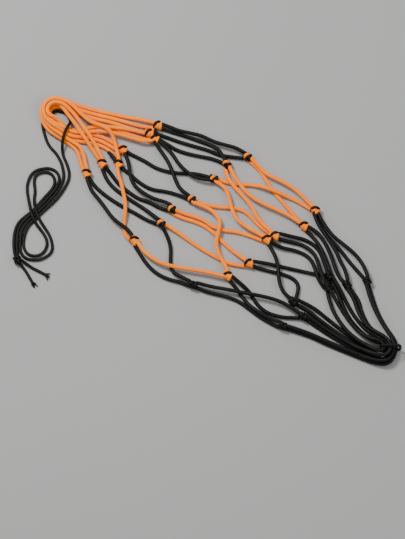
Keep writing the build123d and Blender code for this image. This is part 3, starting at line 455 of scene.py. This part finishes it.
# Each half of the drawstring: the leg from the eye to the neck, down the hank's right side, over
# the crossing and down its left column, round the lower loop, up the left of the upper loop, down
# the right side and the left column again, through the stopper knot and out as a tail.
DRAWSTRING_HALF_1 = [
    (-0.1273, 0.1015, 0.0013), (-0.1326, 0.1002, 0.0013), (-0.1369, 0.0969, 0.0013),
    (-0.1391, 0.0919, 0.0013), (-0.1385, 0.0863, 0.0013), (-0.1369, 0.0805, 0.0013),
    (-0.1352, 0.075, 0.0013), (-0.1323, 0.0702, 0.0013), (-0.1285, 0.0662, 0.0013),
    (-0.1259, 0.0619, 0.0013), (-0.1237, 0.0574, 0.0013), (-0.1228, 0.0532, 0.0013),
    (-0.1218, 0.0486, 0.0013), (-0.122, 0.0433, 0.0013), (-0.124, 0.0381, 0.0013),
    (-0.1268, 0.0328, 0.0013), (-0.1309, 0.0277, 0.0013), (-0.1354, 0.0229, 0.0013),
    (-0.1401, 0.0179, 0.0013), (-0.1449, 0.0127, 0.0013), (-0.1499, 0.0084, 0.0013),
    (-0.1535, 0.0029, 0.0013), (-0.155, -0.0034, 0.0013), (-0.1555, -0.0098, 0.0013),
    (-0.1554, -0.0156, 0.0013), (-0.1535, -0.02, 0.0013), (-0.1501, -0.0228, 0.0013),
    (-0.1454, -0.0239, 0.0013), (-0.1396, -0.0236, 0.0013), (-0.1346, -0.0211, 0.0013),
    (-0.1312, -0.018, 0.0013), (-0.1299, -0.0138, 0.0013), (-0.1306, -0.009, 0.0013),
    (-0.1321, -0.0039, 0.0013), (-0.1349, 0.001, 0.0018), (-0.1385, 0.0059, 0.0033),
    (-0.1413, 0.0108, 0.0041), (-0.1432, 0.0159, 0.0041), (-0.1444, 0.0212, 0.003),
    (-0.1449, 0.027, 0.0014), (-0.144, 0.0333, 0.0013), (-0.1449, 0.0395, 0.0013),
    (-0.1449, 0.0446, 0.0013), (-0.1427, 0.0479, 0.0013), (-0.1385, 0.0496, 0.0013),
    (-0.134, 0.0496, 0.0013), (-0.1306, 0.0474, 0.0013), (-0.1287, 0.0433, 0.0013),
    (-0.1291, 0.0386, 0.0013), (-0.1316, 0.0342, 0.0013), (-0.1354, 0.03, 0.0013),
    (-0.1391, 0.0255, 0.0013), (-0.1426, 0.0209, 0.0013), (-0.1468, 0.0162, 0.0013),
    (-0.1522, 0.0122, 0.0013), (-0.1568, 0.0076, 0.0013), (-0.1593, 0.0018, 0.0013),
    (-0.1603, -0.0045, 0.0013), (-0.1605, -0.0108, 0.0013), (-0.16, -0.0165, 0.0013),
    (-0.1591, -0.0208, 0.0022), (-0.1564, -0.0229, 0.0036), (-0.1502, -0.0271, 0.002),
    (-0.1455, -0.0306, 0.0013), (-0.1408, -0.0329, 0.0013), (-0.136, -0.0356, 0.0013),
]

DRAWSTRING_HALF_2 = [
    (-0.1273, 0.1015, 0.0013), (-0.122, 0.1007, 0.0013), (-0.1184, 0.0971, 0.0013),
    (-0.117, 0.0933, 0.0016), (-0.1168, 0.0908, 0.0034), (-0.1174, 0.0886, 0.0064),
    (-0.1187, 0.0856, 0.0088), (-0.1205, 0.082, 0.0096), (-0.122, 0.0776, 0.0088),
    (-0.1231, 0.0723, 0.0066), (-0.1231, 0.0672, 0.002), (-0.1221, 0.0624, 0.0013),
    (-0.1198, 0.0577, 0.0013), (-0.1184, 0.0531, 0.0013), (-0.1174, 0.0486, 0.0013),
    (-0.1178, 0.0436, 0.0013), (-0.1201, 0.0381, 0.0013), (-0.1232, 0.0325, 0.0013),
    (-0.1274, 0.0267, 0.0013), (-0.1324, 0.0215, 0.0013), (-0.1376, 0.0167, 0.0013),
    (-0.1426, 0.0114, 0.0013), (-0.1474, 0.0068, 0.0013), (-0.1508, 0.0013, 0.0013),
    (-0.1524, -0.0049, 0.0013), (-0.153, -0.0105, 0.0013), (-0.1519, -0.0155, 0.0013),
    (-0.149, -0.0193, 0.0013), (-0.1443, -0.0206, 0.0013), (-0.1399, -0.0198, 0.0013),
    (-0.1366, -0.017, 0.0013), (-0.1345, -0.0128, 0.0013), (-0.1343, -0.0082, 0.0013),
    (-0.136, -0.0037, 0.0013), (-0.1391, 0.0008, 0.0016), (-0.1427, 0.0053, 0.0031),
    (-0.1455, 0.0101, 0.0041), (-0.1472, 0.0154, 0.0041), (-0.1483, 0.0212, 0.003),
    (-0.1493, 0.027, 0.0014), (-0.1504, 0.0333, 0.0013), (-0.1504, 0.039, 0.0013),
    (-0.1491, 0.044, 0.0013), (-0.1471, 0.0481, 0.0013), (-0.1437, 0.0511, 0.0013),
    (-0.1393, 0.0524, 0.0013), (-0.1345, 0.0531, 0.0013), (-0.1299, 0.0519, 0.0013),
    (-0.1265, 0.0489, 0.0013), (-0.1251, 0.0448, 0.0013), (-0.1259, 0.04, 0.0013),
    (-0.1285, 0.0348, 0.0013), (-0.1323, 0.0302, 0.0013), (-0.1363, 0.0255, 0.0013),
    (-0.1405, 0.0209, 0.0013), (-0.1451, 0.0159, 0.0013), (-0.1502, 0.0117, 0.0013),
    (-0.1547, 0.0066, 0.0013), (-0.1572, 0.0008, 0.0013), (-0.158, -0.0053, 0.0013),
    (-0.158, -0.0113, 0.0013), (-0.1575, -0.017, 0.0013), (-0.1572, -0.021, 0.0024),
    (-0.1571, -0.0239, 0.003), (-0.156, -0.0264, 0.0022), (-0.1524, -0.0306, 0.0013),
    (-0.1497, -0.0347, 0.0013), (-0.1479, -0.0382, 0.0013), (-0.1455, -0.0422, 0.0013),
]

# Middles of the knots, by row.
KNOTS = {
    "mouth_knots": [
        (-0.048, 0.0884), (-0.0503, 0.0768), (-0.0546, 0.0815), (-0.0752, 0.0677),
        (-0.0788, 0.0557), (-0.0916, 0.0561), (-0.1037, 0.0478),
    ],
    "upper_knots": [
        (0.0226, 0.0619), (0.0063, 0.0557), (-0.0039, 0.0432), (-0.0214, 0.0262), (-0.037, 0.0179),
        (-0.0452, 0.0059), (-0.0659, -0.0083),
    ],
    "lower_knots": [
        (0.0757, 0.0166), (0.0667, 0.0038), (0.0437, -0.0045), (0.0375, -0.0074), (0.0234, -0.0273),
        (0.007, -0.0377),
    ],
    "bottom_knots": [
        (-0.0203, -0.0452), (0.1155, -0.0423), (0.0999, -0.0456), (0.0858, -0.0377),
        (0.085, -0.0473), (0.0577, -0.0593), (0.0655, -0.0713), (0.0495, -0.0792),
    ],
}

TIE_ROUTE = [
    (0.127, -0.0982, 0.001), (0.1327, -0.0982, 0.001), (0.1385, -0.0982, 0.001),
    (0.1405, -0.0982, 0.003), (0.1405, -0.0982, 0.0072), (0.1405, -0.0982, 0.0113),
    (0.1385, -0.0982, 0.0133), (0.1327, -0.0982, 0.0133), (0.127, -0.0982, 0.0133),
    (0.125, -0.0982, 0.0113), (0.125, -0.0982, 0.0072), (0.125, -0.0982, 0.003),
]


# ---- materials ----------------------------------------------------------------------------------
def node(tree, kind, **values):
    """A shader node with its settings, and its unlinked inputs by name."""
    made = tree.nodes.new(kind)
    for key, value in values.items():
        if hasattr(made, key):
            setattr(made, key, value)
        else:
            made.inputs[key.replace("_", " ")].default_value = value
    return made


def braid_material(name, gap_shade, light, worn_to, rough, gloss, sheen):
    """Braided cord: diagonal plait in u and v with painted shade in the gaps between its crowns,
    fibre streaks, worn dull patches, soft sheen.
    """
    material = bpy.data.materials.new(name)
    material.use_nodes = True
    tree = material.node_tree
    tree.nodes.clear()
    link = tree.links.new
    uv = node(tree, "ShaderNodeUVMap", uv_map="cord")
    parts = node(tree, "ShaderNodeSeparateXYZ")
    link(uv.outputs["UV"], parts.inputs[0])
    waves = []
    for operation in ("ADD", "SUBTRACT"):
        diagonal = node(tree, "ShaderNodeMath", operation=operation)
        link(parts.outputs["X"], diagonal.inputs[0])
        link(parts.outputs["Y"], diagonal.inputs[1])
        turn = node(tree, "ShaderNodeMath", operation="MULTIPLY")
        turn.inputs[1].default_value = CARRIERS * 2 * math.pi
        link(diagonal.outputs[0], turn.inputs[0])
        wave = node(tree, "ShaderNodeMath", operation="COSINE")
        link(turn.outputs[0], wave.inputs[0])
        waves.append(wave)
    cross = node(tree, "ShaderNodeMath", operation="MULTIPLY")
    link(waves[0].outputs[0], cross.inputs[0])
    link(waves[1].outputs[0], cross.inputs[1])
    crown = node(tree, "ShaderNodeMath", operation="ABSOLUTE")
    link(cross.outputs[0], crown.inputs[0])
    # fibres: noise drawn out along the cord
    stretch = node(tree, "ShaderNodeMapping")
    stretch.inputs["Scale"].default_value = (40, 6, 1)
    link(uv.outputs["UV"], stretch.inputs["Vector"])
    fibres = node(tree, "ShaderNodeTexNoise", Scale=3.0, Detail=3.0)
    link(stretch.outputs[0], fibres.inputs["Vector"])
    # dull patches along the cord, from handling
    place = node(tree, "ShaderNodeTexCoord")
    patches = node(tree, "ShaderNodeTexNoise", Scale=70.0, Detail=4.0)
    link(place.outputs["Object"], patches.inputs["Vector"])
    height = node(tree, "ShaderNodeMath", operation="MULTIPLY_ADD")
    height.inputs[1].default_value = 0.7
    link(crown.outputs[0], height.inputs[0])
    link(fibres.outputs["Fac"], height.inputs[2])
    # painted shade: the colour goes to the darker first colour in the gaps between the plait's
    # crowns, and the fibre streaks vary the tone at random
    colour = node(tree, "ShaderNodeMix", data_type="RGBA")
    colour.inputs["A"].default_value = (*gap_shade, 1)
    colour.inputs["B"].default_value = (*light, 1)
    shade_and_fibre_mix = node(tree, "ShaderNodeMapRange")
    shade_and_fibre_mix.inputs["From Min"].default_value = 0.25
    shade_and_fibre_mix.inputs["From Max"].default_value = 1.15
    link(height.outputs[0], shade_and_fibre_mix.inputs["Value"])
    link(shade_and_fibre_mix.outputs[0], colour.inputs["Factor"])
    worn = node(tree, "ShaderNodeMix", data_type="RGBA")
    worn.inputs["B"].default_value = (*worn_to, 1)
    fade = node(tree, "ShaderNodeMapRange")
    fade.inputs["From Min"].default_value = 0.52
    fade.inputs["From Max"].default_value = 0.75
    fade.inputs["To Max"].default_value = 0.45
    link(patches.outputs["Fac"], fade.inputs["Value"])
    link(fade.outputs[0], worn.inputs["Factor"])
    link(colour.outputs["Result"], worn.inputs["A"])
    dullness = node(tree, "ShaderNodeMapRange")
    dullness.inputs["To Min"].default_value = rough - 0.08
    dullness.inputs["To Max"].default_value = rough + 0.1
    link(patches.outputs["Fac"], dullness.inputs["Value"])
    bump = node(tree, "ShaderNodeBump", Strength=0.55, Distance=0.00018)
    link(height.outputs[0], bump.inputs["Height"])
    shader = node(tree, "ShaderNodeBsdfPrincipled")
    shader.inputs["Sheen Weight"].default_value = sheen
    shader.inputs["Sheen Tint"].default_value = (0.8, 0.8, 0.8, 1)
    shader.inputs["Sheen Roughness"].default_value = 0.45
    shader.inputs["Specular IOR Level"].default_value = gloss
    link(worn.outputs["Result"], shader.inputs["Base Color"])
    link(dullness.outputs[0], shader.inputs["Roughness"])
    link(bump.outputs["Normal"], shader.inputs["Normal"])
    end = node(tree, "ShaderNodeOutputMaterial")
    link(shader.outputs[0], end.inputs["Surface"])
    return material


def floor_material():
    """Plain pale sheet of paper."""
    material = bpy.data.materials.new("paper")
    material.use_nodes = True
    shader = material.node_tree.nodes["Principled BSDF"]
    shader.inputs["Base Color"].default_value = PAPER
    shader.inputs["Roughness"].default_value = 0.85
    return material


# The first colour of each braid is painted shade for the gaps between the plait's crowns; the
# second is the cord's own colour on the crowns.
MATERIALS = {
    ORANGE: braid_material(
        "orange_braid", gap_shade=(0.85, 0.12, 0), light=(1, 0.27, 0), worn_to=(1, 0.33, 0),
        rough=0.46, gloss=0.08, sheen=0),
    BLACK: braid_material(
        "black_braid", gap_shade=(0.0008, 0.0008, 0.0007), light=(0.004, 0.0038, 0.0034),
        worn_to=(0.012, 0.011, 0.01), rough=0.44, gloss=0.14, sheen=0.008),
    THIN: braid_material(
        "thin_black_braid", gap_shade=(0.0008, 0.0008, 0.0007), light=(0.0045, 0.0043, 0.0038),
        worn_to=(0.014, 0.013, 0.012), rough=0.46, gloss=0.14, sheen=0.008),
}


# ---- cords --------------------------------------------------------------------------------------
def smooth_line(route, closed=False):
    """Points along the NURBS curve that a route controls."""
    curve = bpy.data.curves.new("route", "CURVE")
    curve.dimensions = "3D"
    spline = curve.splines.new("NURBS")
    spline.points.add(len(route) - 1)
    for point, place in zip(spline.points, route):
        point.co = (*place, 1)
    spline.order_u = CURVE_ORDER
    if closed:
        spline.use_cyclic_u = True
    else:
        spline.use_endpoint_u = True
    spline.resolution_u = CURVE_STEPS
    holder = bpy.data.objects.new("route", curve)
    mesh = bpy.data.meshes.new_from_object(holder)
    line = np.array([vertex.co for vertex in mesh.vertices])
    bpy.data.objects.remove(holder)
    bpy.data.curves.remove(curve)
    bpy.data.meshes.remove(mesh)
    return np.vstack([line, line[:1]]) if closed else line


def even_stations(line, step):
    """Evenly spaced points along a line, and how far along it each one is."""
    reach = np.r_[0, np.cumsum(np.linalg.norm(np.diff(line, axis=0), axis=1))]
    along = np.linspace(0, reach[-1], max(4, round(reach[-1] / step)) + 1)
    points = [np.interp(along, reach, line[:, axis]) for axis in range(3)]
    return np.stack(points, axis=1), along


def cross_frames(points, closed=False):
    """Two unit vectors across the line at each point, turning as little as possible."""
    ends = (points[-2], points[1]) if closed else (points[0], points[-1])
    before = np.vstack([ends[0], points[:-1]])
    after = np.vstack([points[1:], ends[1]])
    tangents = after - before
    tangents /= np.linalg.norm(tangents, axis=1)[:, None]
    side = np.cross(tangents[0], (0, 0, 1))
    if np.linalg.norm(side) < 0.1:
        side = np.cross(tangents[0], (0, 1, 0))
    sides = []
    for tangent in tangents:
        side = side - tangent * (side @ tangent)
        side = side / np.linalg.norm(side)
        sides.append(side)
    sides = np.array(sides)
    return sides, np.cross(tangents, sides)


def cord_mesh(line, diameter, closed=False, step=RING_STEP, sides=SIDES):
    """Corners, faces and u, v of a braided tube with rounded cut ends, or of a closed ring."""
    points, along = even_stations(line, diameter * step)
    across, over = cross_frames(points, closed)
    turn = np.linspace(0, 2 * math.pi, sides + 1)
    run = along / diameter
    plait_u = CARRIERS * turn[None, :]
    plait_v = math.pi * run[:, None] / PLAIT
    crowns = np.abs(np.cos(plait_u + plait_v) * np.cos(plait_u - plait_v))
    radius = diameter / 2 * (1 + RELIEF * (crowns - RELIEF_MEAN))
    if not closed:
        from_end = np.minimum(run, run[-1] - run)
        radius *= np.sqrt(np.clip(END_RADIUS + from_end / END_RUN, END_RADIUS, 1))[:, None]
    ring = (across[:, None, :] * np.cos(turn)[None, :, None]
            + over[:, None, :] * np.sin(turn)[None, :, None])
    corners = points[:, None, :] + ring[:, :-1, :] * radius[:, :-1, None]
    rows = len(points)
    faces = []
    uvs = []
    v_scale = 1 / (2 * CARRIERS * PLAIT)
    for row in range(rows - 1):
        for column in range(sides):
            beside = (column + 1) % sides
            low, high = row * sides, (row + 1) * sides
            faces.append((low + column, low + beside, high + beside, high + column))
            u0, u1 = column / sides, (column + 1) / sides
            v0, v1 = run[row] * v_scale, run[row + 1] * v_scale
            uvs += [(u0, v0), (u1, v0), (u1, v1), (u0, v1)]
    if not closed:
        for first, order in ((0, range(sides - 1, -1, -1)), ((rows - 1) * sides, range(sides))):
            faces.append(tuple(first + column for column in order))
            uvs += [(column / sides, run[0 if first == 0 else -1] * v_scale) for column in order]
    return corners.reshape(-1, 3), faces, uvs


def cord_object(name, strips, slot):
    """One mesh piece from one or more tubes."""
    corners, faces, uvs = [], [], []
    for strip_corners, strip_faces, strip_uvs in strips:
        start = len(corners)
        corners += [tuple(corner) for corner in strip_corners]
        faces += [tuple(start + index for index in face) for face in strip_faces]
        uvs += strip_uvs
    mesh = bpy.data.meshes.new(name)
    mesh.from_pydata(corners, [], faces)
    layer = mesh.uv_layers.new(name="cord")
    layer.data.foreach_set("uv", np.array(uvs, dtype=np.float32).ravel())
    mesh.shade_smooth()
    mesh.materials.append(MATERIALS[slot])
    piece = bpy.data.objects.new(name, mesh)
    bpy.context.collection.objects.link(piece)
    return piece


STRAND_ENDS = []


def strand(name, route, slot):
    """A net cord from knot to knot."""
    line = smooth_line(route)
    for tip, inner in ((line[0], line[END_STEPS]), (line[-1], line[-1 - END_STEPS])):
        STRAND_ENDS.append((Vector(tip), (Vector(inner) - Vector(tip)).normalized(), slot))
    return cord_object(name, [cord_mesh(line, CORD)], slot)


def lettered(node_name, routes):
    """Each route of a node with the name of its piece."""
    return [(f"{node_name}_{letter}", route) for letter, route in zip("abc", routes)]


def net_rows():
    """All strands between knots, each its own piece on its half of the net or across the fold."""
    halves = (
        (MOUTH_LOOPS, ORANGE, UPPER), (UPPER_MESH, BLACK, UPPER),
        (LOWER_MESH, BLACK, LOWER), (BOTTOM_LOOPS, BLACK, LOWER),
    )
    for rows, colour, body in halves:
        for node_name, routes in rows.items():
            slot = ORANGE if node_name == "orange_joining_leg" else colour
            for name, route in lettered(node_name, routes):
                piece = strand(name, route, slot)
                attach(piece, body)
                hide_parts(node_name)
    for node_name, routes in MIDDLE_MESH.items():
        slot = BLACK if node_name == "side_mesh" else ORANGE
        for name, route in lettered(node_name, routes):
            piece = strand(name, route, slot)
            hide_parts(f"{node_name}_mouth_side", f"{node_name}_bottom_side")
            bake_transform(piece)


# ---- knots --------------------------------------------------------------------------------------
def wrap_route():
    """Points of the coil about a knot's own X axis."""
    low, high = WRAP_SPAN
    steps = round(WRAP_TURNS * TURN_POINTS)
    points = []
    for index in range(steps + 1):
        share = index / steps
        angle = WRAP_LEAD + share * WRAP_TURNS * 2 * math.pi
        points.append((low + (high - low) * share,
                       WRAP_WIDE * math.cos(angle), WRAP_TALL * math.sin(angle)))
    return points


def cords_into(place):
    """Ends of the strands that stop at a knot: point, direction into the strand and slot."""
    near = []
    for end, inward, slot in STRAND_ENDS:
        if (end - place).xy.length < KNOT_REACH:
            near.append((end, inward, slot))
    return near


def knot_tilt(place, ends):
    """A tight knot lies in line with the cords that pull on it."""
    pull = Vector((0, 0))
    for _, inward, _ in ends:
        side = 1 if inward.dot(LONG_AXIS) > 0 else -1
        pull += inward.xy.normalized() * side
    return math.atan2(pull.y, pull.x)


def knot_pieces(name, place, first, second, body, node_name):
    """A barrel wrapped in one cord, with a hooked turn of the other over its mouth end."""
    centre = Vector((*place, KNOT_HEIGHT))
    ends = cords_into(centre)
    put = Matrix.Translation(centre) @ Matrix.Rotation(knot_tilt(centre, ends), 4, "Z")
    hook = SHORT_HOOK if first == BLACK else WIDE_HOOK
    shapes = {"wrap": (wrap_route(), KNOT_CORD, first), "hook": (hook, HOOK_CORD, second)}
    for part, (route, diameter, slot) in shapes.items():
        line = smooth_line([tuple(put @ Vector(point)) for point in route])
        strips = [cord_mesh(line, diameter)]
        if part == "wrap" or first != second:
            strips += [lead_in(centre, end, inward) for end, inward, own in ends if own == slot]
        piece = cord_object(f"{name}_{part}", strips, slot)
        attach(piece, body)
        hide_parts(node_name)


def lead_in(centre, end, inward):
    """The last of a strand, running on from its end to the middle of the knot."""
    back = end + inward * LEAD_BACK
    inside = centre + (end - centre) * LEAD_STOP
    return cord_mesh(smooth_line([tuple(back), tuple(end), tuple(inside)]), LEAD_CORD)


def net_knots():
    """Every knot between the rows, wrapped in the colours of the cords that meet there."""
    colours = {
        "mouth_knots": (ORANGE, BLACK, UPPER), "upper_knots": (BLACK, ORANGE, UPPER),
        "lower_knots": (ORANGE, BLACK, LOWER), "bottom_knots": (BLACK, BLACK, LOWER),
    }
    for node_name, places in KNOTS.items():
        for number, place in enumerate(places, 1):
            first, second, body = colours[node_name]
            name = f"{node_name[:-1]}_{number}"
            if name == SIDE_KNOT:
                first, second = second, first
            knot_pieces(name, place, first, second, body, node_name)


# ---- closing tie --------------------------------------------------------------------------------
def closing_tie():
    """Ring of cord round the bundle of bottom loops."""
    ring = cord_mesh(smooth_line(TIE_ROUTE, closed=True), TIE, closed=True)
    piece = cord_object("closing_tie_cord", [ring], BLACK)
    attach(piece, LOWER)
    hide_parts("closing_tie")


# ---- drawstring ---------------------------------------------------------------------------------
def fray(name, line, seed):
    """Loose yarns out of a cut end, fanning and curling."""
    chance = random.Random(seed)
    tip = Vector(line[-1])
    ahead = (tip - Vector(line[-12])).normalized()
    beside = ahead.cross(Vector((0, 0, 1))).normalized()
    strips = []
    outermost = YARNS // 2
    for index in range(YARNS):
        fan = (index - outermost) / outermost * YARN_FAN + chance.uniform(-0.1, 0.1)
        length = chance.uniform(*YARN_LENGTH)
        heading = (ahead * math.cos(fan) + beside * math.sin(fan)).normalized()
        start = tip - ahead * YARN_ROOT + beside * math.sin(fan) * YARN_SPREAD
        middle = start + ahead * length * 0.45 + beside * math.sin(fan) * length * 0.15
        end = start + heading * length
        start.z = max(YARN_FLOOR, tip.z + chance.uniform(-0.0006, 0.0007))
        middle.z = max(YARN_FLOOR, tip.z + chance.uniform(-0.0005, 0.0008))
        end.z = 0.0004 + chance.uniform(0, 0.0007)
        yarn = smooth_line([tuple(start), tuple(middle), tuple(end)])
        strips.append(cord_mesh(yarn, YARN, step=0.4, sides=8))
    return cord_object(name, strips, THIN)


def stopper():
    """Overhand knot of the two ends, drawn tight."""
    x, y, z = STOPPER
    route = []
    for index in range(STOPPER_POINTS):
        angle = index / STOPPER_POINTS * 2 * math.pi
        route.append((x + STOPPER_REACH * (math.sin(angle) + 2 * math.sin(2 * angle)),
                      y + STOPPER_REACH * (math.cos(angle) - 2 * math.cos(2 * angle)),
                      z - STOPPER_RISE * math.sin(3 * angle)))
    ring = cord_mesh(smooth_line(route, closed=True), STRING, closed=True)
    return cord_object("stopper_overhand", [ring], THIN)


def drawstring():
    """Both halves, from the eye through the hank and the stopper knot to a frayed tail."""
    knot = stopper()
    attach(knot, HANK)
    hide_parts("stopper_knot")
    halves = (
        ("drawstring_half_1", DRAWSTRING_HALF_1, "drawstring_leg_1", "drawstring_tail_1", [knot]),
        ("drawstring_half_2", DRAWSTRING_HALF_2, "drawstring_leg_2", "drawstring_tail_2", []),
    )
    for seed, (name, route, leg, tail, carried) in enumerate(halves, 3):
        line = smooth_line(route)
        piece = cord_object(name, [cord_mesh(line, STRING)], THIN)
        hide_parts(leg, "drawstring_hank", tail)
        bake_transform(piece)
        end = fray(f"{name}_fray", line, seed)
        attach(end, HANK)


# ---- studio -------------------------------------------------------------------------------------
def floor():
    """One flat sheet, far wider than the bag."""
    mesh = bpy.data.meshes.new("floor")
    signs = ((-1, -1), (1, -1), (1, 1), (-1, 1))
    mesh.from_pydata([(x * FLOOR_REACH, y * FLOOR_REACH, 0) for x, y in signs], [], [(0, 1, 2, 3)])
    mesh.materials.append(floor_material())
    piece = bpy.data.objects.new("floor", mesh)
    bpy.context.collection.objects.link(piece)


def soft_light(name, place, size, power):
    """Round soft light that faces the origin, in the middle of the bag."""
    data = bpy.data.lights.new(name, "AREA")
    data.shape = "DISK"
    data.size = size
    data.energy = power
    lamp = bpy.data.objects.new(name, data)
    lamp.location = place
    lamp.rotation_euler = (-Vector(place)).to_track_quat("-Z", "Y").to_euler()
    bpy.context.collection.objects.link(lamp)


def studio():
    """Broad soft light from above, a little stronger from the left, over a pale surround."""
    world = bpy.data.worlds.new("surround")
    world.use_nodes = True
    shade = world.node_tree.nodes["Background"]
    shade.inputs["Color"].default_value = (1, 1, 1, 1)
    shade.inputs["Strength"].default_value = SURROUND
    bpy.context.scene.world = world
    for name, light in LIGHTS.items():
        soft_light(name, *light)


def camera():
    """Nearly overhead, from the near side, through a long lens."""
    data = bpy.data.cameras.new("camera")
    data.sensor_fit = "HORIZONTAL"
    data.sensor_width = SENSOR
    data.lens = SENSOR * VIEW_DISTANCE / VIEW_WIDTH
    eye = bpy.data.objects.new("camera", data)
    away = Vector((0, -math.cos(VIEW_RISE), math.sin(VIEW_RISE)))
    eye.location = VIEW_AIM + away * VIEW_DISTANCE
    eye.rotation_euler = (math.pi / 2 - VIEW_RISE, 0, 0)
    bpy.context.collection.objects.link(eye)
    bpy.context.scene.camera = eye


# ---- the whole bag ------------------------------------------------------------------------------
net_rows()
net_knots()
closing_tie()
drawstring()
floor()
studio()
camera()
